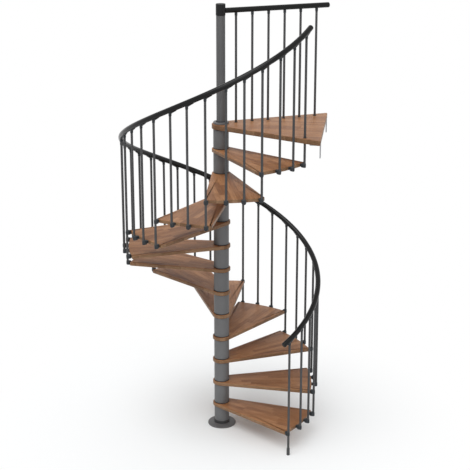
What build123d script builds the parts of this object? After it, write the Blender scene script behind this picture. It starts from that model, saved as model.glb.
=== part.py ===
from build123d import *
import math
import os

os.makedirs("parts", exist_ok=True)

# Whole stair, in millimetres and degrees. The origin is on the pole's axis at floor level.
# The landing reaches out along +X, and the treads climb anticlockwise up to it.
floor_height = 2805.0          # floor to the top of the landing
tread_count = 12
baluster_circle = 850.0        # pole axis to the centres of the spiral balusters
tread_turn = 30.916            # turn from one tread to the next
landing_lead = 28.94           # angle from the last spiral baluster up to the landing's middle line

# Centre pole and what is threaded on it
pole_diameter = 76.1
pole_wall = 3.6
pole_clearance = 0.3           # between the pole and each bore it passes through
spacer_diameter = 133.0
spacer_wall = 4.0
washer_height = 6.0
washer_lip = 1.0               # how far a washer stands out past the spacer
newel_height = 1017.0          # landing top to the top of the newel cap
cap_height = 95.0
cap_wall = 2.2
cap_top = 6.0
collar_height = 17.0
gasket_height = 8.0
gasket_wall = 4.5

# Floor fixing
base_plate_diameter = 232.0
base_plate_height = 8.0
anchor_circle = 190.0
anchor_hole = 13.0
anchor_count = 4
base_cover_diameter = 250.0
base_cover_rim = 12.0
base_cover_top = 19.0
base_cover_wall = 2.5
base_cover_bevel = 3.0          # around the top of the cover's rim
base_collar_diameter = 138.0
base_collar_top = 45.0

# Treads and landing board
tread_thickness = 31.0
landing_thickness = 42.0
hub_radius = 79.0              # rounded end of each board, around the pole
board_rounding = 5.0           # along the long edges
corner_rounding = 12.0         # at the outer corners, seen from above
tread_edge_gap = 42.0          # middle of a tread's outer edge to the baluster circle
tread_corner_gap = 28.0        # the same at the tread's corners: the edge is a flatter arc
tread_overhang = 30.0          # past the corner baluster, along the outer edge
tread_lead = 0.8               # turn of a board's middle line past the middle of its balusters
landing_half_angle = 25.5
landing_reach = 876.0          # pole axis to the landing's straight outer edge

# Balusters, their clips and fittings
baluster_diameter = 20.0
second_baluster = 11.06        # turn from a tread's first baluster to its second
third_baluster = 20.86
clip_grip_diameter = 25.0      # around the baluster
clip_body_diameter = 39.0      # rounded body between the baluster and the tread
clip_body_inset = 10.5         # baluster axis to the body's own axis
clip_height = 38.0
clip_chamfer = 5.0
clip_clearance = 0.2
clip_arm_width = 24.0
clip_arm_height = 24.0
clip_arm_spare = 6.0           # length cut away where the arm meets the board's arc
clip_seat_gap = 0.1            # between the arm and the board's edge
foot_diameter = 28.0
foot_height = 65.0
fitting_diameter = 25.0
fitting_height = 24.0
saddle_length = 52.0
saddle_width = 18.0
saddle_depth = 8.0
grommet_diameter = 29.0
grommet_height = 5.0

# Handrails
rail_diameter = 45.0
rail_height = 865.0            # rail axis above the first tread, at its first baluster
rail_overrun = 4.2             # turn of the rail past its first and last balusters
rail_sections = 6
rail_end_dome = 12.0
fitting_gap = 0.35             # between the rail's underside and each fitting
landing_rail_height = 959.0    # rail axis above the landing
landing_baluster_count = 6
landing_row_turn = 26.4        # direction of the landing's baluster row, from its middle line
landing_baluster_first = 135.4 # pole axis to the first baluster of the row
landing_baluster_step = 145.2

# Landing brackets
bracket_inset = 72.0           # from each outer corner of the landing
bracket_width = 50.0
bracket_plate = 8.0
bracket_drop = 113.0           # below the landing board
bracket_leg = 90.0
bracket_hole = 11.0
bracket_hole_step = 50.0
bracket_hole_edge = 25.0

# Sizes worked out from the ones above
rise = floor_height / (tread_count + 1)
pole_radius = pole_diameter / 2
bore_radius = pole_radius + pole_clearance
spacer_radius = spacer_diameter / 2
rail_radius = rail_diameter / 2
baluster_radius = baluster_diameter / 2
first_angle = -landing_lead - tread_count * tread_turn + 360
landing_top = floor_height
newel_top = landing_top + newel_height
tread_corner_reach = baluster_circle - tread_corner_gap
tread_reach = baluster_circle - tread_edge_gap
tread_corner_turn = tread_turn / 2 + math.degrees(tread_overhang / tread_corner_reach)
edge_sag = tread_reach - tread_corner_reach * math.cos(math.radians(tread_corner_turn))
edge_centre = (tread_reach ** 2 - tread_corner_reach ** 2) / (2 * edge_sag)
edge_radius = tread_reach - edge_centre
rail_slope = math.atan2(rise, baluster_circle * math.radians(tread_turn))
clip_bore = baluster_radius + clip_clearance


def polar(radius, angle, height=0.0):
    """Point at a distance and a turn from the pole's axis."""
    turn = math.radians(angle)
    return Vector(radius * math.cos(turn), radius * math.sin(turn), height)


def upright(radius, low, high, centre=Vector(0, 0)):
    """Solid round bar standing from one height to another."""
    bar = Cylinder(radius, high - low, align=(Align.CENTER, Align.CENTER, Align.MIN))
    return Pos(centre.X, centre.Y, low) * bar


def ring(outer, inner, low, high, centre=Vector(0, 0)):
    """Upright tube or washer between two heights."""
    return upright(outer, low, high, centre) - upright(inner, low - 1, high + 1, centre)


def tread_top(number):
    return number * rise


def tread_middle(number):
    """Turn of a tread's middle line."""
    return baluster_angle(3 * (number - 1)) + tread_turn / 2 + tread_lead


def baluster_angle(index):
    """Turn of a spiral baluster: three to a tread, the third tread gap shared."""
    steps = (0.0, second_baluster, third_baluster)
    return first_angle + (index // 3) * tread_turn + steps[index % 3]


def rail_axis(angle):
    """Height of the spiral rail's axis at a turn."""
    climb = (angle - first_angle) / tread_turn * rise
    return tread_top(1) + rail_height + climb


def save(node, solids):
    """Write one node: one solid, or like solids that don't touch."""
    piece = solids[0] if len(solids) == 1 else Compound(children=solids)
    piece.label = node
    export_step(piece, "parts/" + node + ".step")


# Boards: a rounded end around the pole, two straight sides that leave it as tangents,
# and an outer edge that is an arc on the treads and straight on the landing.


def side_points(half_angle, reach):
    """Where the two straight sides leave the rounded end and where they stop."""
    turn = math.radians(half_angle)
    left_start = Vector(-math.sin(turn), math.cos(turn)) * hub_radius
    right_start = Vector(left_start.X, -left_start.Y)
    left_end = left_start + Vector(math.cos(turn), math.sin(turn)) * reach
    right_end = Vector(left_end.X, -left_end.Y)
    return left_start, left_end, right_start, right_end


def board(outline, outer_corners, top, thickness):
    """Board with rounded corners and edges and the pole's bore."""
    slab = extrude(outline, thickness)
    corners = []
    for edge in slab.edges().filter_by(Axis.Z):
        middle = edge.center()
        near = [c for c in outer_corners if (Vector(middle.X, middle.Y) - c).length < 1]
        corners.extend([edge] if near else [])
    slab = fillet(corners, corner_rounding)
    rims = slab.edges().group_by(Axis.Z)[0] + slab.edges().group_by(Axis.Z)[-1]
    slab = fillet(rims, board_rounding)
    slab = slab - upright(bore_radius, -1, thickness + 1)
    return Pos(0, 0, top - thickness) * slab


def tread_outline():
    half_angle = tread_corner_turn - math.degrees(math.asin(hub_radius / tread_corner_reach))
    reach = math.sqrt(tread_corner_reach ** 2 - hub_radius ** 2)
    left_start, left_end, right_start, right_end = side_points(half_angle, reach)
    edges = [
        ThreePointArc(left_start, Vector(-hub_radius, 0), right_start),
        Line(right_start, right_end),
        ThreePointArc(right_end, Vector(tread_reach, 0), left_end),
        Line(left_end, left_start),
    ]
    return make_face(edges), [left_end, right_end]


def landing_outline():
    turn = math.radians(landing_half_angle)
    reach = (landing_reach + hub_radius * math.sin(turn)) / math.cos(turn)
    left_start, left_end, right_start, right_end = side_points(landing_half_angle, reach)
    edges = [
        ThreePointArc(left_start, Vector(-hub_radius, 0), right_start),
        Line(right_start, right_end),
        Line(right_end, left_end),
        Line(left_end, left_start),
    ]
    return make_face(edges), [left_end, right_end]


tread_face, tread_corners = tread_outline()
plain_tread = board(tread_face, tread_corners, 0, tread_thickness)
for number in range(1, tread_count + 1):
    tread = Pos(0, 0, tread_top(number)) * (Rot(0, 0, tread_middle(number)) * plain_tread)
    save("tread_%02d" % number, [tread])

landing_face, landing_corners = landing_outline()
landing_board = board(landing_face, landing_corners, landing_top, landing_thickness)
landing_underside = landing_top - landing_thickness
last_baluster = polar(baluster_circle, baluster_angle(3 * tread_count))
landing_board = landing_board - upright(clip_bore, landing_underside - 1, landing_top + 1, last_baluster)

# Landing balusters stand in a row that runs out from the pole along the board's back edge.
back_turn = math.radians(landing_half_angle)
row_turn = math.radians(landing_row_turn)
row_along = Vector(math.cos(row_turn), math.sin(row_turn))
row_points = []
for index in range(landing_baluster_count):
    row_points.append(row_along * (landing_baluster_first + index * landing_baluster_step))

save("landing_board", [landing_board])

# Centre pole: one tube from the base plate to the newel cap, with a spacer tube and
# two washers to each riser.
cap_bore = pole_radius + pole_clearance
cap_radius = cap_bore + cap_wall
save("centre_pole", [ring(pole_radius, pole_radius - pole_wall, base_plate_height, newel_top - cap_top)])

washers = []
spacers = []
for number in range(1, tread_count + 2):
    low = base_collar_top if number == 1 else tread_top(number - 1) + washer_height
    underside = landing_underside if number > tread_count else tread_top(number) - tread_thickness
    high = underside - washer_height
    spacers.append(ring(spacer_radius, spacer_radius - spacer_wall, low, high))
    washers.append(ring(spacer_radius + washer_lip, bore_radius, high, underside))
    if number <= tread_count:
        top = tread_top(number)
        washers.append(ring(spacer_radius + washer_lip, bore_radius, top, top + washer_height))
save("spacer_tubes", spacers)
save("pole_washers", washers)

collar_top = landing_top + collar_height
save("landing_collar", [ring(spacer_radius, bore_radius, landing_top, collar_top)])
save("newel_gasket", [ring(bore_radius + gasket_wall, bore_radius, collar_top, collar_top + gasket_height)])

# Newel cap: a sleeve over the pole's end with a closed top.
cap_low = newel_top - cap_height
cap = upright(cap_radius, cap_low, newel_top)
cap = fillet(cap.edges().group_by(Axis.Z)[-1], 3)
cap = cap - upright(cap_bore, cap_low - 1, newel_top - cap_top)
save("newel_cap", [cap])

# Base plate with anchor holes, the collar at the pole's foot and the cover over the plate.
plate = upright(base_plate_diameter / 2, 0, base_plate_height)
for index in range(anchor_count):
    centre = polar(anchor_circle / 2, 45 + index * 360 / anchor_count)
    plate = plate - upright(anchor_hole / 2, -1, base_plate_height + 1, centre)
save("base_plate", [plate])

base_collar_radius = base_collar_diameter / 2
save("base_collar", [ring(base_collar_radius, bore_radius, base_plate_height, base_collar_top)])

cover_radius = base_cover_diameter / 2
cover_inside = cover_radius - base_cover_wall
cover_bore = base_collar_radius + pole_clearance
cover_profile = Polyline(
    (cover_radius, 0), (cover_radius, base_cover_rim - base_cover_bevel),
    (cover_radius - base_cover_bevel, base_cover_rim), (cover_bore, base_cover_top),
    (cover_bore, base_cover_top - base_cover_wall),
    (cover_inside - base_cover_bevel, base_cover_rim - base_cover_wall),
    (cover_inside, base_cover_rim - base_cover_bevel - base_cover_wall), (cover_inside, 0), close=True)
cover = revolve(Plane.XZ * make_face(cover_profile), Axis.Z)
save("base_cover", [cover])

# Clips hold each baluster off a tread's outer edge.


def clip(index, number):
    """Grip on the baluster, a round body inboard of it and an arm that meets the tread's edge."""
    angle = baluster_angle(index)
    middle = tread_top(number) - tread_thickness / 2
    low = middle - clip_height / 2
    body = upright(clip_body_diameter / 2, low, low + clip_height, Vector(-clip_body_inset, 0))
    rims = body.edges().group_by(Axis.Z)[0] + body.edges().group_by(Axis.Z)[-1]
    body = chamfer(rims, clip_chamfer)
    grip = upright(clip_grip_diameter / 2, low, low + clip_height)
    reach = tread_edge_gap + clip_arm_spare
    arm = Pos(-reach / 2, 0, middle) * Box(reach, clip_arm_width, clip_arm_height)
    swing = math.radians(tread_middle(number) - angle)
    arc_centre = Vector(math.cos(swing), math.sin(swing)) * edge_centre - Vector(baluster_circle, 0)
    piece = body + grip + arm - upright(edge_radius + clip_seat_gap, low - 1, low + clip_height + 1, arc_centre)
    piece = piece - upright(clip_bore, low - 1, low + clip_height + 1)
    return Rot(0, 0, angle) * (Pos(baluster_circle, 0, 0) * piece)


group_count = 3
group_treads = tread_count // group_count
group_balusters = 3 * group_treads
for group in range(group_count):
    clips = []
    for number in range(group_treads * group + 1, group_treads * (group + 1) + 1):
        first = 3 * (number - 1)
        clips.extend(clip(index, number) for index in range(first, first + 4))
    save("baluster_clips_%d" % (group + 1), clips)

# Spiral balusters, from the foot of their lowest clip to the fitting under the rail.
rail_drop = rail_radius / math.cos(rail_slope)


def baluster_low(index):
    lowest_tread = max(1, math.ceil(index / 3))
    return tread_top(lowest_tread) - tread_thickness / 2 - clip_height / 2


def baluster_high(index):
    return rail_axis(baluster_angle(index)) - rail_drop - fitting_height


def spiral_baluster(index, low):
    centre = polar(baluster_circle, baluster_angle(index))
    return upright(baluster_radius, low, baluster_high(index), centre)


save("floor_baluster", [spiral_baluster(0, foot_height)])
foot = upright(foot_diameter / 2, 0, foot_height, polar(baluster_circle, first_angle))
save("floor_foot", [foot])
for group in range(group_count):
    first = group_balusters * group + 1
    bars = [spiral_baluster(index, baluster_low(index)) for index in range(first, first + group_balusters)]
    save("spiral_balusters_%d" % (group + 1), bars)

# Fittings: a cup on each baluster and a short saddle up along the rail's underside.


def rail_core(radius, length):
    """Round bar that lies where the rail passes over a baluster at the local origin."""
    return Rot(math.degrees(rail_slope) - 90, 0, 0) * Cylinder(radius, length)


def fitting(index):
    angle = baluster_angle(index)
    axis = rail_axis(angle)
    low = baluster_high(index) - axis
    cup = upright(fitting_diameter / 2, low, -rail_radius / 2)
    saddle_thickness = saddle_depth + rail_radius / 4
    saddle = Pos(0, saddle_length / 2, -rail_radius - saddle_depth + saddle_thickness / 2) * Box(
        saddle_width, saddle_length, saddle_thickness)
    saddle = Rot(math.degrees(rail_slope), 0, 0) * saddle
    bend = Rot(0, 0, math.degrees(saddle_length / baluster_circle) / 2)
    piece = cup + bend * saddle
    piece = piece - bend * rail_core(rail_radius + fitting_gap, 4 * saddle_length)
    return Rot(0, 0, angle) * (Pos(baluster_circle, 0, axis) * piece)


for group in range(group_count):
    first = group_balusters * group + (1 if group else 0)
    fittings = [fitting(index) for index in range(first, group_balusters * (group + 1) + 1)]
    save("rail_fittings_%d" % (group + 1), fittings)

# Spiral handrail, a round bar on a helix, in sections that meet end to end.
rail_start = first_angle - rail_overrun
rail_end = baluster_angle(3 * tread_count) + rail_overrun
section_turn = (rail_end - rail_start) / rail_sections
section_rise = section_turn / tread_turn * rise
helix_pitch = 360 / tread_turn * rise
path = Helix(pitch=helix_pitch, height=section_rise, radius=baluster_circle)
section_face = Plane(origin=path @ 0, z_dir=path % 0) * Circle(rail_radius)
plain_section = sweep(section_face, path=path, is_frenet=True)
for number in range(rail_sections):
    angle = rail_start + number * section_turn
    place = Pos(0, 0, rail_axis(angle)) * Rot(0, 0, angle)
    save("spiral_handrail_%d" % (number + 1), [place * plain_section])

# Domed ends of the spiral rail and the landing rail.


def dome(origin, outward):
    """Rounded stop, its flat side on the rail's end."""
    stop = upright(rail_radius, 0, rail_end_dome)
    stop = fillet(stop.edges().group_by(Axis.Z)[-1], rail_end_dome - 1)
    return Plane(origin=origin, z_dir=outward) * stop


def rail_direction(angle):
    turn = math.radians(angle)
    flat = math.cos(rail_slope)
    return Vector(-math.sin(turn) * flat, math.cos(turn) * flat, math.sin(rail_slope))


lower_end = dome(polar(baluster_circle, rail_start, rail_axis(rail_start)), rail_direction(rail_start) * -1)
upper_end = dome(polar(baluster_circle, rail_end, rail_axis(rail_end)), rail_direction(rail_end))

# Landing rail: level, from the newel cap to the landing's outer edge.
landing_axis = landing_top + landing_rail_height
rail_span = landing_reach / math.cos(row_turn) - rail_end_dome
rail_plane = Plane(origin=Vector(0, 0, landing_axis), z_dir=row_along)
landing_rail = rail_plane * Cylinder(rail_radius, rail_span, align=(Align.CENTER, Align.CENTER, Align.MIN))
landing_rail = landing_rail - upright(cap_radius + 0.1, cap_low - 50, newel_top + 50)
landing_rail = landing_rail.solids().sort_by(SortBy.VOLUME)[-1]
save("landing_handrail", [landing_rail])
far_end = row_along * rail_span + Vector(0, 0, landing_axis)
save("handrail_ends", [lower_end, upper_end, dome(far_end, row_along)])

landing_bars = []
landing_fittings = []
grommets = []
for point in row_points:
    low = landing_top
    high = landing_axis - rail_radius - fitting_height
    landing_bars.append(upright(baluster_radius, low, high, point))
    cup = upright(fitting_diameter / 2, high, landing_axis, point)
    landing_fittings.append(cup - rail_plane * Cylinder(rail_radius + fitting_gap, 4 * rail_span))
    grommets.append(ring(grommet_diameter / 2, clip_bore, low, low + grommet_height, point))
grommets.append(ring(grommet_diameter / 2, clip_bore, landing_top, landing_top + grommet_height, last_baluster))
save("landing_balusters", landing_bars)
save("landing_rail_fittings", landing_fittings)
save("landing_grommets", grommets)

# Landing brackets: a flat bar bent to a right angle, its long leg hanging at the outer edge.


def bracket(side):
    corner = (hub_radius + landing_reach * math.sin(back_turn)) / math.cos(back_turn)
    across = side * (corner - bracket_inset)
    leg = Box(bracket_leg, bracket_width, bracket_plate, align=(Align.MAX, Align.CENTER, Align.MAX))
    drop = Box(bracket_plate, bracket_width, bracket_drop, align=(Align.MAX, Align.CENTER, Align.MAX))
    piece = leg + drop
    for step in range(2):
        height = -bracket_drop + bracket_hole_edge + step * bracket_hole_step
        hole = Pos(-bracket_plate / 2, 0, height) * Rot(0, 90, 0) * Cylinder(bracket_hole / 2, 4 * bracket_plate)
        piece = piece - hole
    return Pos(landing_reach, across, landing_underside) * piece


save("landing_brackets", [bracket(-1), bracket(1)])
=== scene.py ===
import math

import bmesh
import bpy
import numpy as np
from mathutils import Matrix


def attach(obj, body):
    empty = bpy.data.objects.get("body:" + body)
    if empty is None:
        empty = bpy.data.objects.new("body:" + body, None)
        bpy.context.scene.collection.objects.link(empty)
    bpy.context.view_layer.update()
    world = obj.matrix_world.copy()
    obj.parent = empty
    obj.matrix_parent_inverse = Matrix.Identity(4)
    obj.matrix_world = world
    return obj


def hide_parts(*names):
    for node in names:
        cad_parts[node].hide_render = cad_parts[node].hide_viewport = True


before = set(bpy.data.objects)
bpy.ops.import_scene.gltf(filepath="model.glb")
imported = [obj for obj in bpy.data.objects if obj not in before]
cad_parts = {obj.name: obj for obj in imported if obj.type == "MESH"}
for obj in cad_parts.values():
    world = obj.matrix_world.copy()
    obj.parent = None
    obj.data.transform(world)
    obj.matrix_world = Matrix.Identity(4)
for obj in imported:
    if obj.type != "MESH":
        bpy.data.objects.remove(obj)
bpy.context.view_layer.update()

# View. The stair is seen from about 11 m off and 5.5 m up through a long lens, turned down a
# little, so that the flight keeps nearly the same scale all the way up.
view_lens = bpy.data.cameras.new("stair_view")
view_lens.sensor_width = 36.0
view_lens.lens = 101.43
view_lens.shift_y = -0.06
view_lens.dof.use_dof = False
view_stand = bpy.data.objects.new("stair_view", view_lens)
view_stand.location = (1.4496, -10.8519, 5.5017)
view_stand.rotation_euler = (math.pi / 2 - 0.30443, 0.0, 0.1219)
bpy.context.scene.collection.objects.link(view_stand)
bpy.context.scene.camera = view_stand
bpy.context.scene.view_settings.view_transform = "Standard"

# Base flange. A round steel plate stands on the floor, and four anchor bolts with low heads
# and washers hold it down. Powder coated like the pole; the cover hides it.


def grid_faces(rows, columns, rows_wrap):
    """Quads between neighbours of a grid whose columns close on themselves."""
    i = np.arange(rows if rows_wrap else rows - 1)[:, None]
    j = np.arange(columns)[None, :]
    below = (i + 1) % rows
    beside = (j + 1) % columns
    corners = (i * columns + j, i * columns + beside,
               below * columns + beside, below * columns + j)
    return np.stack(np.broadcast_arrays(*corners), -1).reshape(-1, 4)


def unit(rows):
    """Each row, or a single vector, divided by its own length."""
    return rows / np.linalg.norm(rows, axis=-1, keepdims=True)


def rounded(corners, radius, steps=4, closed=True):
    """Outline with each corner turned into an arc: for a corner where the outline turns by
    angle w, the arc of radius r starts r tan(w/2) before it and ends as far after it."""
    corners = [np.asarray(c, dtype=float) for c in corners]
    count = len(corners)
    radii = radius if isinstance(radius, (list, tuple)) else [radius] * count
    points = []
    for k, corner in enumerate(corners):
        if radii[k] == 0 or (not closed and k in (0, count - 1)):
            points.append(corner[None])
            continue
        before = unit(corner - corners[k - 1])
        after = unit(corners[(k + 1) % count] - corner)
        cross = before[0] * after[1] - before[1] * after[0]
        swing = math.acos(np.clip(before @ after, -1, 1))
        side = np.sign(cross) * np.array([-before[1], before[0]])
        start = corner - before * radii[k] * math.tan(swing / 2)
        w = np.linspace(0, swing, steps + 1)[:, None]
        points.append(start + radii[k] * (np.sin(w) * before + (1 - np.cos(w)) * side))
    return np.concatenate(points)


def ring_corners(inner, outer, low, high):
    """Corners (radius, height) of a ring's square section, from the inner lower one."""
    return [(inner, low), (outer, low), (outer, high), (inner, high)]


def turned(profile, centre=(0.0, 0.0), steps=96):
    """Profile of (radius, height) turned once round an upright axis:
    x = cx + r cos t, y = cy + r sin t, z = h. A profile that never meets the axis is a ring."""
    t = np.linspace(0, 2 * np.pi, steps, endpoint=False)
    r = np.asarray(profile)[:, :1]
    h = np.asarray(profile)[:, 1:]
    points = np.stack([centre[0] + r * np.cos(t), centre[1] + r * np.sin(t), h + 0 * t], -1)
    return points.reshape(-1, 3), grid_faces(len(r), steps, r.min() > 1e-9)


def set_piece(name, shapes, finish, slot, *nodes):
    """Joins closed shapes, each (points, faces), into one fixed piece that stands for CAD nodes.
    A shape whose signed volume, the sum of a . (b x c) / 6 over its triangles, is negative
    is inside out and has its faces turned round."""
    points, faces, first = [], [], 0
    for p, f in shapes:
        a, b, c, d = (p[f[:, k]] for k in range(4))
        volume = (a * np.cross(b, c)).sum() + (a * np.cross(c, d)).sum()
        faces.append((f if volume > 0 else f[:, ::-1]) + first)
        points.append(p)
        first += len(p)
    mesh = bpy.data.meshes.new(name)
    mesh.from_pydata(np.concatenate(points).tolist(), [], np.concatenate(faces).tolist())
    joined = bmesh.new()
    joined.from_mesh(mesh)
    bmesh.ops.remove_doubles(joined, verts=joined.verts, dist=1e-6)
    joined.to_mesh(mesh)
    joined.free()
    mesh.shade_smooth()
    mesh.set_sharp_from_angle(angle=math.radians(32))
    mesh.materials.append(finish)
    piece = bpy.data.objects.new(name, mesh)
    bpy.context.scene.collection.objects.link(piece)
    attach(piece, "root")
    if nodes:
        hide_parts(*nodes)
    return piece


def put(tree, kind, sockets=None, **settings):
    """Adds a shader node; a socket takes a link or a plain value. Gives its first output."""
    made = tree.nodes.new("ShaderNode" + kind)
    for key, value in settings.items():
        setattr(made, key, value)
    for key, value in (sockets or {}).items():
        if isinstance(value, bpy.types.NodeSocket):
            tree.links.new(value, made.inputs[key])
        else:
            made.inputs[key].default_value = value
    return made.outputs[0]


def ramp(tree, factor, stops):
    """Colour ramp through (place, colour) stops."""
    made = tree.nodes.new("ShaderNodeValToRGB")
    tree.links.new(factor, made.inputs[0])
    bar = made.color_ramp
    while len(bar.elements) < len(stops):
        bar.elements.new(0.5)
    for element, (place, colour) in zip(bar.elements, stops):
        element.position = place
        element.color = (*colour, 1.0)
    return made.outputs[0]


def grey_ramp(tree, factor, stops):
    """Ramp of greys through (place, level) stops."""
    return ramp(tree, factor, [(place, (level,) * 3) for place, level in stops])


def tinted(tree, colour, by):
    """One colour times another, channel by channel."""
    return put(tree, "MixRGB", {"Fac": 1.0, "Color1": colour, "Color2": by},
               blend_type="MULTIPLY")


def shade(colour, by):
    return tuple(min(1.0, c * by) for c in colour)


def new_finish(name):
    """Bare material: itself, its node tree and its shader."""
    finish = bpy.data.materials.new(name)
    finish.use_nodes = True
    return finish, finish.node_tree, finish.node_tree.nodes["Principled BSDF"]


def own_place(tree):
    return tree.nodes.new("ShaderNodeTexCoord").outputs["Object"]


def dress(tree, shader, base, gloss, relief, glint):
    """Joins colour, roughness and relief to the shader and sets its plain specular level."""
    tree.links.new(base, shader.inputs["Base Color"])
    tree.links.new(gloss, shader.inputs["Roughness"])
    tree.links.new(relief, shader.inputs["Normal"])
    shader.inputs["Specular IOR Level"].default_value = glint


def powder_coat(name, colour, roughness, metallic=0.0, glint=0.4):
    """Baked powder paint: fine orange peel, dust-sized specks and a slow drift of tone."""
    finish, tree, shader = new_finish(name)
    place = own_place(tree)
    drift = put(tree, "TexNoise", {"Vector": place, "Scale": 5.0, "Detail": 3.0})
    tone = ramp(tree, drift, [(0.3, shade(colour, 0.93)), (0.7, shade(colour, 1.07))])
    speck = put(tree, "TexNoise", {"Vector": place, "Scale": 850.0, "Detail": 2.0})
    specks = grey_ramp(tree, speck, [(0.42, 0.86), (0.62, 1.08)])
    gloss = put(tree, "MapRange", {"Value": drift, "From Min": 0.3, "From Max": 0.7,
                                   "To Min": roughness - 0.05, "To Max": roughness + 0.06})
    peel = put(tree, "TexNoise", {"Vector": place, "Scale": 420.0, "Detail": 2.0,
                                  "Roughness": 0.4})
    relief = put(tree, "Bump", {"Height": peel, "Strength": 0.35, "Distance": 0.0004})
    shader.inputs["Metallic"].default_value = metallic
    dress(tree, shader, tinted(tree, tone, specks), gloss, relief, glint)
    return finish


pole_grey = powder_coat("pole_grey", (0.143, 0.143, 0.146), 0.48)
zinc_grey = powder_coat("zinc_grey", (0.30, 0.30, 0.315), 0.38, 0.55)


def coat_node(name, finish):
    """Gives a CAD node that shows as it is its own finish."""
    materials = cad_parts[name].data.materials
    materials.clear()
    materials.append(finish)


coat_node("base_plate", pole_grey)

anchor_circle = 0.095
anchor_seat = 0.0081
anchor_washer_radius, anchor_washer_top = 0.0105, 0.0093
anchor_head_radius, anchor_head_top, anchor_head_crown = 0.0085, 0.0126, 0.0002
anchor_washer = rounded(
    ring_corners(0.0, anchor_washer_radius, anchor_seat, anchor_washer_top),
    [0, 0.0004, 0.0004, 0], 2, False)
anchor_head = rounded([(0.0, anchor_washer_top), (anchor_head_radius, anchor_washer_top),
                       (anchor_head_radius, anchor_head_top),
                       (0.0, anchor_head_top + anchor_head_crown)],
                      [0, 0.0003, 0.0009, 0], 2, False)
anchor_shapes = []
for quarter in range(4):
    around = math.radians(45 + 90 * quarter)
    spot = (anchor_circle * math.cos(around), anchor_circle * math.sin(around))
    anchor_shapes.append(turned(anchor_washer, spot, 32))
    anchor_shapes.append(turned(anchor_head, spot, 6))
set_piece("anchor_bolts", anchor_shapes, zinc_grey, "bracket_steel")

# Base cover and collar. A thin pressed cover drops over the flange and its bolts, and a
# moulded collar at the pole's foot closes the gap and carries the first spacer tube.


def moulded_plastic(name, colour, roughness, glint=0.35):
    """Spark-textured moulding: close-set grain, soft sheen and a slow drift of tone."""
    finish, tree, shader = new_finish(name)
    place = own_place(tree)
    drift = put(tree, "TexNoise", {"Vector": place, "Scale": 14.0, "Detail": 2.0})
    tone = ramp(tree, drift, [(0.3, shade(colour, 0.85)), (0.7, shade(colour, 1.18))])
    grain = put(tree, "TexVoronoi", {"Vector": place, "Scale": 1500.0})
    fleck = grey_ramp(tree, grain, [(0.1, 0.9), (0.7, 1.1)])
    gloss = put(tree, "MapRange", {"Value": drift, "From Min": 0.3, "From Max": 0.7,
                                   "To Min": roughness - 0.06, "To Max": roughness + 0.06})
    relief = put(tree, "Bump", {"Height": grain, "Strength": 0.3, "Distance": 0.0002})
    dress(tree, shader, tinted(tree, tone, fleck), gloss, relief, glint)
    return finish


black_moulding = moulded_plastic("black_moulding", (0.014, 0.014, 0.015), 0.5)

cover_outer, cover_bore = 0.125, 0.0693
cover_rim, cover_top, cover_wall = 0.012, 0.019, 0.0022
cover_profile = rounded(
    [(cover_outer, 0.0), (cover_outer, cover_rim), (cover_bore, cover_top),
     (cover_bore, cover_top - cover_wall), (cover_outer - cover_wall, cover_rim - cover_wall),
     (cover_outer - cover_wall, 0.0)],
    [0.0006, 0.004, 0.001, 0.0004, 0.0025, 0.0006], 6)
cover_grey = powder_coat("cover_grey", (0.108, 0.108, 0.110), 0.5)
set_piece("base_cover", [turned(cover_profile, steps=160)], cover_grey, "pole_paint", "base_cover")

bore = 0.03835
collar_outer, collar_low, collar_top = 0.069, 0.008, 0.045
collar_profile = rounded(ring_corners(bore, collar_outer, collar_low, collar_top),
                         [0.0005, 0.001, 0.0035, 0.001], 6)
collar_moulding = moulded_plastic("collar_moulding", (0.034, 0.034, 0.035), 0.5)
set_piece("base_collar", [turned(collar_profile, steps=128)], collar_moulding, "black_plastic",
          "base_collar")

# Centre pole. One steel tube runs from the flange to the cap on top of the newel. The boards
# and spacers are threaded on it, so it only shows above the landing, where it is the newel.
landing_top = 2.805
landing_number = 13
rise = landing_top / landing_number
newel_top = landing_top + 1.017
newel_grey = powder_coat("newel_grey", (0.101, 0.101, 0.103), 0.46)
pole_outer, pole_wall = 0.03805, 0.0036
pole_low, pole_high = 0.0085, newel_top - 0.0065
pole_profile = rounded(ring_corners(pole_outer - pole_wall, pole_outer, pole_low, pole_high),
                       0.0008, 3)
set_piece("centre_pole", [turned(pole_profile)], newel_grey, "newel_paint", "centre_pole")

# Spacers and washers. A steel spacer tube keeps each board apart from the next, and a black
# moulded washer with a thin lip sits on each end of it, so the wood is not marked.
tread_thickness, landing_thickness = 0.031, 0.042
washer_height, washer_lip = 0.006, 0.0010
spacer_outer, spacer_wall = 0.0665, 0.004
washer_outer = spacer_outer + washer_lip
spacer_shapes, washer_shapes = [], []
for number in range(1, landing_number + 1):
    low = collar_top if number == 1 else (number - 1) * rise + washer_height
    thickness = landing_thickness if number == landing_number else tread_thickness
    high = number * rise - thickness - washer_height
    tube = rounded(ring_corners(spacer_outer - spacer_wall, spacer_outer, low, high), 0.0012, 4)
    spacer_shapes.append(turned(tube, steps=128))
    for seat in [high] if number == landing_number else [high, number * rise]:
        rim = rounded(ring_corners(bore, washer_outer, seat, seat + washer_height),
                      [0.0003, 0.0012, 0.0012, 0.0003], 4)
        washer_shapes.append(turned(rim, steps=128))
set_piece("spacer_tubes", spacer_shapes, pole_grey, "pole_paint", "spacer_tubes")
set_piece("pole_washers", washer_shapes, black_moulding, "black_plastic", "pole_washers")

# Treads. Each is a wedge of finger-jointed hardwood staves glued edge to edge along its
# length, with a rounded end bored for the pole and all its edges eased, and lacquered.
hub_radius = 0.079
corner_round = 0.012
board_easing = 0.005


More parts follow.
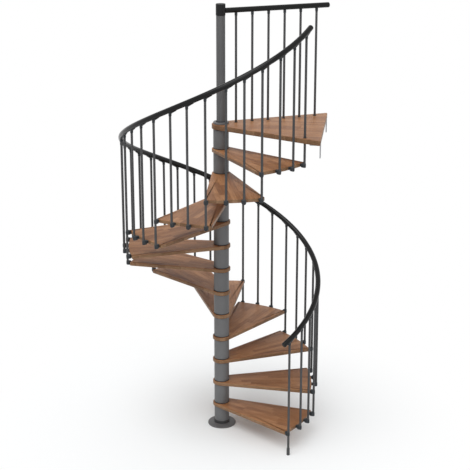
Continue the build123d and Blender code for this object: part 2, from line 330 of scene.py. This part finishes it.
def wedge_outline(half_angle, outer):
    """Loop seen from above, the middle line on +X: a half circle of the hub's radius about
    the pole, two sides that leave it as tangents at the half angle, and the outer points."""
    turn = math.radians(half_angle)
    w = np.linspace(np.pi / 2 + turn, 3 * np.pi / 2 - turn, 41)
    round_end = hub_radius * np.stack([np.cos(w), np.sin(w)], -1)
    first, last = outer[0], outer[-1]
    side_low = unit(first - round_end[-1])
    side_high = unit(last - round_end[0])
    corners = []
    for corner, before, after in ((first, side_low, outer[1] - first),
                                  (last, last - outer[-2], -side_high)):
        arc = rounded([corner - unit(before), corner, corner + unit(after)],
                      [0, corner_round, 0], 7, False)
        corners.append(arc[1:-1])
    s = np.linspace(0, 1, 16)[1:-1, None]
    low_run = round_end[-1] + s * (corners[0][0] - round_end[-1])
    high_run = corners[1][-1] + s * (round_end[0] - corners[1][-1])
    return np.concatenate([round_end, low_run, corners[0], outer[1:-1], corners[1], high_run])


def board_shape(outline, thickness):
    """Board with eased edges: loops of the outline set in by r (1 - sin w) at height
    r (1 - cos w) from each face, and straight rules from them to the pole's bore."""
    ahead = np.roll(outline, -1, 0) - outline
    behind = outline - np.roll(outline, 1, 0)
    along = unit(unit(ahead) + unit(behind))
    outward = np.stack([along[:, 1], -along[:, 0]], -1)
    hole = bore * unit(outline)
    rings = [(s, board_easing, 0.0) for s in (0.0, 0.2, 0.45, 0.75)]
    rings += [(1.0, board_easing * (1 - math.sin(a)), board_easing * (1 - math.cos(a)))
              for a in np.linspace(0, np.pi / 2, 6)]
    rings += [(s, inset, thickness - height) for s, inset, height in reversed(rings)]
    loops = []
    for s, inset, height in rings:
        edge = outline - outward * inset
        flat = hole + s * (edge - hole)
        loops.append(np.concatenate([flat, np.full((len(flat), 1), height)], 1))
    points = np.concatenate(loops)
    return points, grid_faces(len(loops), len(outline), True)


def swung(points, angle, height=0.0):
    """Points turned about the pole and raised: x' = x cos a - y sin a, y' = x sin a + y cos a."""
    a = math.radians(angle)
    x, y, z = points.T
    return np.stack([x * math.cos(a) - y * math.sin(a), x * math.sin(a) + y * math.cos(a),
                     z + height], -1)


wood_tones = ((0.225, 0.095, 0.038), (0.320, 0.145, 0.060), (0.420, 0.210, 0.098))
stave_width, stave_length = 0.043, 0.36


def stave_wood(name):
    """Lacquered hardwood staves. The attribute board_place holds a point's place in its own
    board: x along the staves, y across them, z up, and board_seed sets each board apart.
    Stave = whole part of y / width; joint = whole part of (x + its own shift + a zigzag of
    z) / length; tone and grain come from noise drawn out along x and moved for each piece."""
    finish, tree, shader = new_finish(name)

    def maths(operation, a, b=0.0):
        return put(tree, "Math", {0: a, 1: b}, operation=operation)

    def attribute(key, output):
        made = tree.nodes.new("ShaderNodeAttribute")
        made.attribute_name = key
        return made.outputs[output]

    def lot_number(*parts):
        """Random number and colour that belong to a set of whole numbers."""
        key = tree.nodes.new("ShaderNodeCombineXYZ")
        for part, socket in zip(parts, key.inputs):
            tree.links.new(part, socket)
        made = tree.nodes.new("ShaderNodeTexWhiteNoise")
        made.noise_dimensions = "3D"
        tree.links.new(key.outputs[0], made.inputs["Vector"])
        return made.outputs["Value"], made.outputs["Color"]

    def drawn_out(scale, **sockets):
        """Noise stretched along the staves by unlike scales."""
        place = put(tree, "Mapping", {"Vector": moved, "Scale": scale})
        return put(tree, "TexNoise", {"Vector": place, "Scale": 1.0, **sockets})

    place = attribute("board_place", "Vector")
    seed = attribute("board_seed", "Fac")
    split = tree.nodes.new("ShaderNodeSeparateXYZ")
    tree.links.new(place, split.inputs[0])
    along, across, up = split.outputs

    stave_place = maths("ADD", maths("DIVIDE", across, stave_width), 100.5)
    stave = maths("FLOOR", stave_place)
    shift = lot_number(stave, seed)[0]
    fingers = maths("MULTIPLY", maths("PINGPONG", maths("ADD", up, 10.0), 0.003), 3.4)
    shifted = maths("ADD", maths("ADD", along, fingers), maths("MULTIPLY", shift, 0.9))
    run = maths("ADD", maths("DIVIDE", shifted, stave_length), 20.0)
    lot, lot_colour = lot_number(stave, maths("FLOOR", run), seed)

    jump = put(tree, "VectorMath", {0: lot_colour, 1: (9.0, 9.0, 9.0)}, operation="MULTIPLY")
    moved = put(tree, "VectorMath", {0: place, 1: jump}, operation="ADD")
    figure = drawn_out((2.2, 26.0, 26.0), Detail=3.0, Roughness=0.55, Distortion=0.35)
    bands = maths("PINGPONG", maths("FRACT", maths("MULTIPLY", figure, 7.0)), 0.5)
    bands = put(tree, "MapRange", {"Value": bands, "From Min": 0.0, "From Max": 0.5})
    streaks = drawn_out((5.0, 190.0, 190.0), Detail=4.0, Roughness=0.6)
    pores = drawn_out((55.0, 1500.0, 1500.0), Detail=1.0)
    pore_lines = put(tree, "MapRange", {"Value": pores, "From Min": 0.34, "From Max": 0.44})
    cloud = put(tree, "TexNoise", {"Vector": place, "Scale": 9.0, "Detail": 2.0})
    seam = put(tree, "MapRange", {"Value": maths("PINGPONG", stave_place, 0.5),
                                  "From Min": 0.004, "From Max": 0.012})
    joint_line = put(tree, "MapRange", {"Value": maths("PINGPONG", run, 0.5),
                                        "From Min": 0.0006, "From Max": 0.0016})
    # Painted shade: upright faces, the boards' sides and round ends, are tinted darker and less
    # red than the tops, for the shade that falls on them.
    painted_shade_facing = tree.nodes.new("ShaderNodeSeparateXYZ")
    tree.links.new(tree.nodes.new("ShaderNodeTexCoord").outputs["Normal"], painted_shade_facing.inputs[0])
    flat = put(tree, "MapRange", {"Value": maths("ABSOLUTE", painted_shade_facing.outputs[2]),
                                  "From Min": 0.25, "From Max": 0.8})

    plain = (1.0, 1.0, 1.0)
    glue = maths("MINIMUM", seam, joint_line)
    wood = ramp(tree, lot, [(0.0, wood_tones[0]), (0.45, wood_tones[1]), (1.0, wood_tones[2])])
    for layer in (
            ramp(tree, bands, [(0.0, (0.86, 0.83, 0.80)), (1.0, (1.09, 1.10, 1.11))]),
            ramp(tree, streaks, [(0.3, (0.79, 0.76, 0.73)), (0.62, (1.11, 1.12, 1.13))]),
            ramp(tree, pore_lines, [(0.0, (0.80, 0.77, 0.75)), (1.0, plain)]),
            grey_ramp(tree, cloud, [(0.3, 0.92), (0.7, 1.06)]),
            ramp(tree, glue, [(0.0, (0.68, 0.66, 0.64)), (1.0, plain)]),
            # painted shade on upright faces
            ramp(tree, flat, [(0.0, (0.72, 0.86, 1.0)), (1.0, plain)])):
        wood = tinted(tree, wood, layer)
    gloss = put(tree, "MapRange", {"Value": streaks, "From Min": 0.3, "From Max": 0.7,
                                   "To Min": 0.52, "To Max": 0.42})
    height = maths("ADD", maths("MULTIPLY", streaks, 0.5), pore_lines)
    relief = put(tree, "Bump", {"Height": height, "Strength": 0.3, "Distance": 0.0002})
    dress(tree, shader, wood, gloss, relief, 0.32)
    return finish


wood_finish = stave_wood("stave_wood")

tread_turn = 30.916
landing_lead = 28.94
first_angle = 360.0 - landing_lead - 12 * tread_turn
second_baluster, third_baluster = 11.06, 20.86
tread_lead = 0.8
baluster_circle = 0.850
edge_reach, corner_reach, corner_overhang = 0.808, 0.822, 0.030
corner_turn = tread_turn / 2 + math.degrees(corner_overhang / corner_reach)
corner_spot = math.radians(corner_turn)
edge_centre = ((edge_reach ** 2 - corner_reach ** 2)
               / (2 * (edge_reach - corner_reach * math.cos(corner_spot))))
edge_radius = edge_reach - edge_centre


def baluster_angle(index):
    steps = (0.0, second_baluster, third_baluster)
    return first_angle + (index // 3) * tread_turn + steps[index % 3]


def tread_middle(number):
    return baluster_angle(3 * (number - 1)) + tread_turn / 2 + tread_lead


def set_board(name, shape, angle, height, seed):
    """Places a board and writes each point's place in its own board beside it."""
    points, faces = shape
    board = set_piece(name, [(swung(points, angle, height), faces)], wood_finish, "wood", name)
    spots = np.empty(len(board.data.vertices) * 3)
    board.data.vertices.foreach_get("co", spots)
    local = swung(spots.reshape(-1, 3), -angle, -height)
    mark = board.data.attributes.new("board_place", "FLOAT_VECTOR", "POINT")
    mark.data.foreach_set("vector", local.astype(np.float32).ravel())
    number_mark = board.data.attributes.new("board_seed", "FLOAT", "POINT")
    number_mark.data.foreach_set("value", np.full(len(local), seed, dtype=np.float32))


swing_low = math.atan2(-corner_reach * math.sin(corner_spot),
                       corner_reach * math.cos(corner_spot) - edge_centre)
w = np.linspace(swing_low, -swing_low, 44)
tread_edge = np.stack([edge_centre + edge_radius * np.cos(w), edge_radius * np.sin(w)], -1)
tread_half_angle = corner_turn - math.degrees(math.asin(hub_radius / corner_reach))
tread_shape = board_shape(wedge_outline(tread_half_angle, tread_edge), tread_thickness)
for number in range(1, landing_number):
    set_board("tread_%02d" % number, tread_shape, tread_middle(number),
              number * rise - tread_thickness, number * 3.7)

# Landing. A thicker wedge of the same staves with a straight outer edge against the floor
# above. Its sides open wider than a tread's, and the last spiral baluster passes through it.
landing_half_angle = 25.5
landing_turn = math.radians(landing_half_angle)
landing_reach = 0.876
landing_corner = (hub_radius + landing_reach * math.sin(landing_turn)) / math.cos(landing_turn)
landing_edge = np.stack([np.full(26, landing_reach),
                         np.linspace(-landing_corner, landing_corner, 26)], -1)
landing_shape = board_shape(wedge_outline(landing_half_angle, landing_edge), landing_thickness)
set_board("landing_board", landing_shape, 0.0, landing_top - landing_thickness, 61.3)

# Newel foot and cap. A painted collar covers the pole's joint on the landing, a black gasket
# sits on it, and a moulded cap closes the newel and takes the end of the landing rail.
newel_collar_top = landing_top + 0.017
newel_collar = rounded(ring_corners(bore, spacer_outer, landing_top, newel_collar_top),
                       [0.0004, 0.001, 0.0025, 0.001], 5)
set_piece("landing_collar", [turned(newel_collar, steps=128)], pole_grey, "pole_paint",
          "landing_collar")
gasket_outer, gasket_top = 0.0428, newel_collar_top + 0.008
gasket = rounded(ring_corners(bore, gasket_outer, newel_collar_top, gasket_top),
                 [0.0003, 0.0006, 0.003, 0.0006], 5)
set_piece("newel_gasket", [turned(gasket)], black_moulding, "black_plastic", "newel_gasket")

cap_outer, cap_top_wall = 0.04055, 0.006
cap_low = newel_top - 0.095
cap_profile = rounded([(bore, cap_low), (cap_outer, cap_low), (cap_outer, newel_top),
                       (0.0, newel_top), (0.0, newel_top - cap_top_wall),
                       (bore, newel_top - cap_top_wall)],
                      [0.0004, 0.0008, 0.003, 0, 0, 0.0004], 5)
inner_middle = int(np.argmin(cap_profile[:, 0]))
cap_profile = np.roll(cap_profile, -inner_middle - 1, 0)
cap_moulding = moulded_plastic("cap_moulding", (0.0105, 0.0105, 0.0110), 0.48, 0.20)
set_piece("newel_cap", [turned(cap_profile)], cap_moulding, "handrail", "newel_cap")

# Baluster clips. A moulded nylon block takes the baluster in its outer side, swells to a round
# body just inboard of it and runs in to the tread's edge, where two wood screws inside hold it.
clip_nose = 0.0125
clip_body, clip_inset = 0.0195, 0.0105
clip_half, clip_arm = 0.019, 0.012
clip_fall_from, clip_fall, clip_neck = 0.023, 0.008, 0.031
clip_easing, clip_flare = 0.006, 0.16


def carried(sections):
    """Closed bar through a list of equal loops, its ends closed on their middles."""
    first = sections[0].mean(0) + 0 * sections[0]
    last = sections[-1].mean(0) + 0 * sections[-1]
    stack = np.concatenate([first[None], sections, last[None]])
    return stack.reshape(-1, 3), grid_faces(len(stack), stack.shape[1], False)


def clip_shape(reach_at):
    """Clip along -X from the baluster's axis: squared ovals |y/b|^4 + |z/c|^4 = 1. The half
    width b(x) follows the wider of the nose's circle, the body's circle and the arm; the half
    height c(x) rounds up at the nose and down on to the arm. The last loops run to the
    board's edge, s from 0 to 1, and widen by 1 + f s^3."""
    nose = clip_nose * np.cos(np.linspace(0.12, np.pi / 2, 7))
    x = np.concatenate([nose, np.linspace(-0.003, -clip_neck, 15)])
    of_nose = np.sqrt(np.clip(clip_nose ** 2 - x ** 2, 0, None))
    of_body = np.sqrt(np.clip(clip_body ** 2 - (x + clip_inset) ** 2, 0, None))
    of_arm = np.where(x < -clip_inset, clip_arm, 0.0)
    b = (of_nose ** 6 + of_body ** 6 + of_arm ** 6) ** (1 / 6)
    rise_in = np.clip((clip_nose - x) / clip_easing, 0, 1)
    fall = np.clip((-x - clip_fall_from) / clip_fall, 0, 1)
    c = (clip_half - clip_easing * (1 - np.sqrt(1 - (1 - rise_in) ** 2))
         - (clip_half - clip_arm) * (1 - np.sqrt(1 - fall ** 2)))
    t = np.linspace(0, 2 * np.pi, 28, endpoint=False)
    oval_y = np.sign(np.cos(t)) * np.abs(np.cos(t)) ** 0.5
    oval_z = np.sign(np.sin(t)) * np.abs(np.sin(t)) ** 0.5
    block = np.stack([x[:, None] + 0 * t, b[:, None] * oval_y, c[:, None] * oval_z], -1)
    s = np.linspace(0, 1, 6)[1:, None]
    flare = 1 + clip_flare * s ** 3
    y = clip_arm * oval_y * flare
    neck = np.stack([-clip_neck - s * (reach_at(y) - clip_neck), y, clip_arm * oval_z * flare], -1)
    return carried(np.concatenate([block, neck]))


def set_at(shape, origin, x_axis, y_axis, z_axis):
    """Shape moved into a frame: p' = o + x X + y Y + z Z."""
    points, faces = shape
    return points @ np.array([x_axis, y_axis, z_axis]) + origin, faces


clip_moulding = moulded_plastic("clip_moulding", (0.019, 0.023, 0.027), 0.42)
screw_radius, screw_face_radius, screw_socket = 0.0036, 0.0030, 0.0018
screw_depth, screw_rim, screw_face, screw_sink = 0.003, 0.0006, 0.0010, 0.0006
screw_profile = rounded([(0.0, -screw_depth), (screw_radius, -screw_depth),
                         (screw_radius, screw_rim), (screw_face_radius, screw_face),
                         (screw_socket, screw_face), (screw_socket, -screw_face),
                         (0.0, -screw_face)],
                        [0, 0.0003, 0.0004, 0.0004, 0.0002, 0.0002, 0], 2, False)
screw_head = turned(screw_profile, steps=24)
black_screw = powder_coat("black_screw", (0.03, 0.03, 0.032), 0.32, 0.6)
straight_up = np.array([0.0, 0.0, 1.0])
for group in range(1, 4):
    clip_shapes, screw_shapes = [], []
    for number in range(4 * group - 3, 4 * group + 1):
        for index in range(3 * number - 3, 3 * number + 1):
            angle = baluster_angle(index)
            swing = math.radians(tread_middle(number) - angle)
            hub_x = edge_centre * math.cos(swing) - baluster_circle
            hub_y = edge_centre * math.sin(swing)

            def reach_at(y):
                return -(hub_x + np.sqrt(edge_radius ** 2 - (y - hub_y) ** 2))

            a = math.radians(angle)
            outward = np.array([math.cos(a), math.sin(a), 0.0])
            sideways = np.array([-math.sin(a), math.cos(a), 0.0])
            board_middle = number * rise - tread_thickness / 2
            spot = baluster_circle * outward + board_middle * straight_up
            clip_shapes.append(set_at(clip_shape(reach_at), spot, outward, sideways, straight_up))
            head_spot = spot + (clip_nose - screw_sink) * outward
            screw_shapes.append(set_at(screw_head, head_spot, straight_up, sideways, outward))
    set_piece("baluster_clips_%d" % group, clip_shapes, clip_moulding, "clip_plastic",
              "baluster_clips_%d" % group)
    set_piece("clip_screws_%d" % group, screw_shapes, black_screw, "clip_plastic")

# Balusters. Thin round steel tubes, powder coated. Each hangs from the rail and ends level
# with the bottom of its lowest clip; the first one goes on down to a foot on the floor.
baluster_radius, baluster_overhang = 0.010, 0.0004
baluster_grey = powder_coat("baluster_grey", (0.078, 0.078, 0.080), 0.50, 0.0, 0.14)
rail_climb = math.atan2(rise, baluster_circle * math.radians(tread_turn))
rail_radius = 0.0225
rail_height = 0.865
fitting_height = 0.024
foot_height = 0.065


def rail_axis(angle):
    return rise + rail_height + (angle - first_angle) / tread_turn * rise


def baluster_high(index):
    return rail_axis(baluster_angle(index)) - rail_radius / math.cos(rail_climb) - fitting_height


def baluster_spot(index):
    a = math.radians(baluster_angle(index))
    return baluster_circle * math.cos(a), baluster_circle * math.sin(a)


def tube_shape(spot, low, high):
    profile = rounded(ring_corners(0.0, baluster_radius, low, high),
                      [0, 0.0016, 0.0008, 0], 3, False)
    return turned(profile, spot, 32)


set_piece("floor_baluster", [tube_shape(baluster_spot(0), foot_height, baluster_high(0))],
          baluster_grey, "baluster_paint", "floor_baluster")
for group in range(1, 4):
    bars = []
    for index in range(12 * group - 11, 12 * group + 1):
        lowest_tread = max(1, math.ceil(index / 3))
        low = lowest_tread * rise - tread_thickness / 2 - clip_half - baluster_overhang
        bars.append(tube_shape(baluster_spot(index), low, baluster_high(index)))
    set_piece("spiral_balusters_%d" % group, bars, baluster_grey, "baluster_paint",
              "spiral_balusters_%d" % group)

# Floor foot. A short steel sleeve under the first baluster, screwed to the floor, with a
# groove turned near its top where a ring clamps the tube that goes in.
foot_radius, groove_radius = 0.014, 0.0126
groove_low, groove_high, groove_slope = 0.050, 0.054, 0.0008
foot_profile = rounded([(0.0, 0.0), (foot_radius, 0.0), (foot_radius, groove_low),
                        (groove_radius, groove_low + groove_slope),
                        (groove_radius, groove_high - groove_slope), (foot_radius, groove_high),
                        (foot_radius, foot_height), (0.0, foot_height)],
                       [0, 0.001, 0.0003, 0.0003, 0.0003, 0.0003, 0.0015, 0], 3, False)
set_piece("floor_foot", [turned(foot_profile, baluster_spot(0), 48)], baluster_grey,
          "baluster_paint", "floor_foot")

# Rail fittings. A moulded cup covers each baluster's top, and a tapering tongue lies along
# the rail's underside on the uphill side and is screwed up into it.
cup_foot_radius, cup_head_radius, cup_lap = 0.0122, 0.0125, 0.001
tongue_length, tongue_half_width, tongue_narrowing = 0.052, 0.0098, 0.0025
tongue_depth, tongue_thinning, tongue_bite = 0.010, 0.007, 0.0015


def helix_frame(angle):
    """Point on the spiral rail's axis, with the directions along it, outward and upward."""
    a = np.radians(angle)
    c, s = math.cos(rail_climb), math.sin(rail_climb)
    axis = np.stack([baluster_circle * np.cos(a), baluster_circle * np.sin(a),
                     rail_axis(angle) + 0 * a], -1)
    onward = np.stack([-np.sin(a) * c, np.cos(a) * c, s + 0 * a], -1)
    outward = np.stack([np.cos(a), np.sin(a), 0 * a], -1)
    return axis, onward, outward, np.cross(outward, onward)


def cup_shape(spot, low, rail_middle):
    """Cup from just under the baluster's top into the rail's lower half."""
    high = rail_middle - rail_radius * 0.75
    profile = rounded([(0.0, low - cup_lap), (cup_foot_radius, low - cup_lap),
                       (cup_head_radius, high), (0.0, high)], [0, 0.0015, 0.002, 0], 4, False)
    return turned(profile, spot, 36)


def tongue_shape(angle):
    """Tongue under the rail: an arc just inside the rail's skin and one of radius R + d(s)
    about the rail's axis, d falling from 10 mm at the cup to 3 mm at the tip, and with the
    half width w(s) narrowing towards a rounded tip."""
    s = np.linspace(0, 1, 15)
    turn = angle + np.degrees(s * tongue_length * math.cos(rail_climb) / baluster_circle)
    axis, _, outward, upward = helix_frame(turn)
    depth = tongue_depth - tongue_thinning * s ** 0.8
    round_tip = np.sqrt(np.clip(1.0001 - (s * 0.98) ** 8, 0, 1))
    half = (tongue_half_width - tongue_narrowing * s ** 3) * round_tip / rail_radius
    w = np.linspace(-1, 1, 9)
    outer = rail_radius + depth[:, None] * (1 - 0.35 * np.abs(w) ** 3)[None]
    inner = np.full((len(s), len(w)), rail_radius - tongue_bite)
    radius = np.concatenate([outer, inner], 1)[..., None]
    fan = half[:, None] * w[None]
    fan = np.concatenate([fan, fan[:, ::-1]], 1)[..., None]
    return carried(axis[:, None] + radius * (np.sin(fan) * outward[:, None]
                                             - np.cos(fan) * upward[:, None]))


for group in range(1, 4):
    first = 0 if group == 1 else 12 * group - 11
    fitting_shapes = []
    for index in range(first, 12 * group + 1):
        angle = baluster_angle(index)
        fitting_shapes.append(cup_shape(baluster_spot(index), baluster_high(index),
                                        rail_axis(angle)))
        fitting_shapes.append(tongue_shape(angle))
    set_piece("rail_fittings_%d" % group, fitting_shapes, clip_moulding, "clip_plastic",
              "rail_fittings_%d" % group)

# Spiral handrail. A round plastic rail on a metal core, bent to a helix over the balusters
# in one length, with a rounded stop pressed into each end.


def rail_skin(name, colour, roughness):
    """Drawn plastic rail skin: faint lines and dullness where hands have not polished it."""
    finish, tree, shader = new_finish(name)
    place = own_place(tree)
    drift = put(tree, "TexNoise", {"Vector": place, "Scale": 7.0, "Detail": 4.0,
                                   "Roughness": 0.6})
    tone = ramp(tree, drift, [(0.3, shade(colour, 0.85)), (0.7, shade(colour, 1.2))])
    haze = put(tree, "TexNoise", {"Vector": place, "Scale": 260.0, "Detail": 3.0})
    fleck = grey_ramp(tree, haze, [(0.35, 0.9), (0.65, 1.1)])
    gloss = put(tree, "MapRange", {"Value": drift, "From Min": 0.3, "From Max": 0.7,
                                   "To Min": roughness - 0.05, "To Max": roughness + 0.07})
    relief = put(tree, "Bump", {"Height": haze, "Strength": 0.15, "Distance": 0.0002})
    dress(tree, shader, tinted(tree, tone, fleck), gloss, relief, 0.24)
    return finish


rail_black = rail_skin("rail_black", (0.0032, 0.0032, 0.0034), 0.17)
rail_overrun = 4.2
rail_start = first_angle - rail_overrun
rail_end = baluster_angle(36) + rail_overrun
axis, _, outward, upward = helix_frame(np.linspace(rail_start, rail_end, 420))
v = np.linspace(0, 2 * np.pi, 48, endpoint=False)[:, None]
rail_points = axis[:, None] + rail_radius * (np.cos(v) * outward[:, None]
                                             + np.sin(v) * upward[:, None])
set_piece("spiral_handrail", [carried(rail_points)], rail_black, "handrail",
          *["spiral_handrail_%d" % k for k in range(1, 7)])

# Landing rail and rail ends. The same rail, straight and level, runs from the newel cap over
# the landing's balusters, and its free end has the same rounded stop.
row_turn = math.radians(26.4)
row_along = np.array([math.cos(row_turn), math.sin(row_turn), 0.0])
row_across = np.array([-math.sin(row_turn), math.cos(row_turn), 0.0])
landing_axis = landing_top + 0.959
stop_length = 0.012
rail_root = 0.0380
rail_span = landing_reach / math.cos(row_turn) - stop_length
straight = np.linspace(rail_root, rail_span, 24)[:, None, None]
ring_around = rail_radius * (np.cos(v) * row_across + np.sin(v) * straight_up)
landing_points = straight * row_along + ring_around[None] + landing_axis * straight_up
set_piece("landing_handrail", [carried(landing_points)], rail_black, "handrail",
          "landing_handrail")


def stop_shape(origin, onward, side, upward):
    """Rounded stop: circles of radius R - k (1 - cos w) carried 1 mm + k sin w beyond the
    rail's end, where k is the stop's length less 1 mm."""
    ease = stop_length - 0.001
    w = np.linspace(0, np.pi / 2, 9)
    radius = np.concatenate([[rail_radius - 0.0006, rail_radius],
                             rail_radius - ease * (1 - np.cos(w))])
    ahead = np.concatenate([[0.0, 0.0006], 0.001 + ease * np.sin(w)])
    rings = radius[:, None, None] * (np.cos(v) * side + np.sin(v) * upward)[None]
    return carried(rings + ahead[:, None, None] * onward + origin)


low_axis, low_on, low_out, low_up = (q[0] for q in helix_frame(np.array([rail_start])))
high_axis, high_on, high_out, high_up = (q[0] for q in helix_frame(np.array([rail_end])))
rail_stops = [stop_shape(low_axis, -low_on, low_out, low_up),
              stop_shape(high_axis, high_on, high_out, high_up),
              stop_shape(row_along * rail_span + landing_axis * straight_up, row_along,
                         row_across, straight_up)]
set_piece("handrail_ends", rail_stops, rail_black, "handrail", "handrail_ends")

# Landing balusters. Six tubes stand in a row on the landing, in grommets that hide the
# screws, and go up into cups under the level rail. A seventh grommet closes the hole where
# the last spiral baluster passes through the board.
row_first, row_step = 0.1354, 0.1452
row_spots = [tuple(((row_first + row_step * k) * row_along)[:2]) for k in range(6)]
cup_low = landing_axis - rail_radius - fitting_height
landing_bars = [tube_shape(spot, landing_top, cup_low) for spot in row_spots]
landing_cups = [cup_shape(spot, cup_low, landing_axis) for spot in row_spots]
grommet_bore, grommet_outer, grommet_top = 0.0101, 0.0145, landing_top + 0.005
grommet_profile = rounded([(grommet_bore, landing_top), (grommet_outer, landing_top),
                           (grommet_outer - 0.001, grommet_top), (grommet_bore, grommet_top)],
                          [0.0002, 0.0005, 0.002, 0.0006], 4)
grommets = [turned(grommet_profile, spot, 40) for spot in row_spots + [baluster_spot(36)]]
set_piece("landing_balusters", landing_bars, baluster_grey, "baluster_paint",
          "landing_balusters")
set_piece("landing_rail_fittings", landing_cups, clip_moulding, "clip_plastic",
          "landing_rail_fittings")
set_piece("landing_grommets", grommets, black_moulding, "black_plastic", "landing_grommets")

# Landing brackets. Two flat steel bars, bent to a right angle, are screwed under the landing
# and hang at its outer edge, with two holes each for bolts into the floor above.
bracket_inset, bracket_plate = 0.072, 0.008
bracket_low = landing_top - landing_thickness - bracket_plate
coat_node("landing_brackets", zinc_grey)
head_face_radius, head_radius = 0.0045, 0.0065
head_face, head_rim = bracket_low - 0.0026, bracket_low - 0.0004
head_inside = bracket_low + 0.001
bracket_head = rounded([(0.0, head_face), (head_face_radius, head_face), (head_radius, head_rim),
                        (head_radius, head_inside), (0.0, head_inside)],
                       [0, 0.0012, 0.0006, 0.0003, 0], 3, False)
bracket_screws = []
for side in (-1, 1):
    for from_edge in (0.028, 0.068):
        spot = (landing_reach - from_edge, side * (landing_corner - bracket_inset))
        bracket_screws.append(turned(bracket_head, spot, 24))
set_piece("bracket_screws", bracket_screws, zinc_grey, "bracket_steel")

# Floor and light. A plain white studio floor keeps the stair's soft shadow near its foot and
# fades to white further out. The light is a white dome, brighter overhead than at its rim,
# with a broad soft key high on the left and a weaker fill low in front.


def bare_white(tree):
    """1 for a ray from the camera, a mirror or a glass, and 0 for any other."""
    rays = tree.nodes.new("ShaderNodeLightPath").outputs
    mirrored = put(tree, "Math", {0: rays["Is Glossy Ray"], 1: rays["Is Transmission Ray"]},
                   operation="MAXIMUM")
    return put(tree, "Math", {0: rays["Is Camera Ray"], 1: mirrored}, operation="MAXIMUM")


floor_reach = 14.0
fade_start, fade_end = 0.35, 2.2
floor_mesh = bpy.data.meshes.new("studio_floor")
floor_corners = [(x * floor_reach, y * floor_reach, 0.0)
                 for x, y in ((-1, -1), (1, -1), (1, 1), (-1, 1))]
floor_mesh.from_pydata(floor_corners, [], [(0, 1, 2, 3)])
studio_floor = bpy.data.objects.new("studio_floor", floor_mesh)
bpy.context.scene.collection.objects.link(studio_floor)
floor_white, tree, shader = new_finish("floor_white")
shader.inputs["Base Color"].default_value = (0.905, 0.93, 0.94, 1.0)
shader.inputs["Roughness"].default_value = 0.9
shader.inputs["Specular IOR Level"].default_value = 0.1
distance = tree.nodes.new("ShaderNodeVectorMath")
distance.operation = "LENGTH"
tree.links.new(own_place(tree), distance.inputs[0])
fade = put(tree, "MapRange", {"Value": distance.outputs["Value"],
                              "From Min": fade_start, "From Max": fade_end})
amount = put(tree, "Math", {0: fade, 1: bare_white(tree)}, operation="MULTIPLY")
white = put(tree, "Emission", {"Color": (1.0, 1.0, 1.0, 1.0), "Strength": 1.0})
blend = put(tree, "MixShader", {0: amount, 1: shader.outputs[0], 2: white})
tree.links.new(blend, tree.nodes["Material Output"].inputs["Surface"])
floor_mesh.materials.append(floor_white)

dome_rim, dome_top = 0.15, 0.84
room = bpy.data.worlds.new("studio")
bpy.context.scene.world = room
room.use_nodes = True
tree = room.node_tree
sky = tree.nodes["Background"]
sky.inputs["Color"].default_value = (1.0, 1.0, 1.0, 1.0)
sky_height = tree.nodes.new("ShaderNodeSeparateXYZ")
tree.links.new(tree.nodes.new("ShaderNodeTexCoord").outputs["Generated"], sky_height.inputs[0])
dome = put(tree, "MapRange", {"Value": sky_height.outputs[2],
                              "To Min": dome_rim, "To Max": dome_top})
level = put(tree, "MapRange", {"Value": bare_white(tree), "To Min": dome, "To Max": 1.0})
tree.links.new(level, sky.inputs["Strength"])

for lamp_name, direction, spread, strength in (
        ("soft_key", (-2.3, -3.6, 9.0), 46.0, 1.45),
        ("soft_fill", (2.5, -9.0, 4.2), 50.0, 0.60)):
    lamp_data = bpy.data.lights.new(lamp_name, "SUN")
    lamp_data.angle = math.radians(spread)
    lamp_data.energy = strength
    lamp = bpy.data.objects.new(lamp_name, lamp_data)
    lamp.location = direction
    away = unit(np.array(direction))
    lamp.rotation_euler = (math.acos(away[2]), 0.0, math.atan2(away[1], away[0]) + math.pi / 2)
    bpy.context.scene.collection.objects.link(lamp)
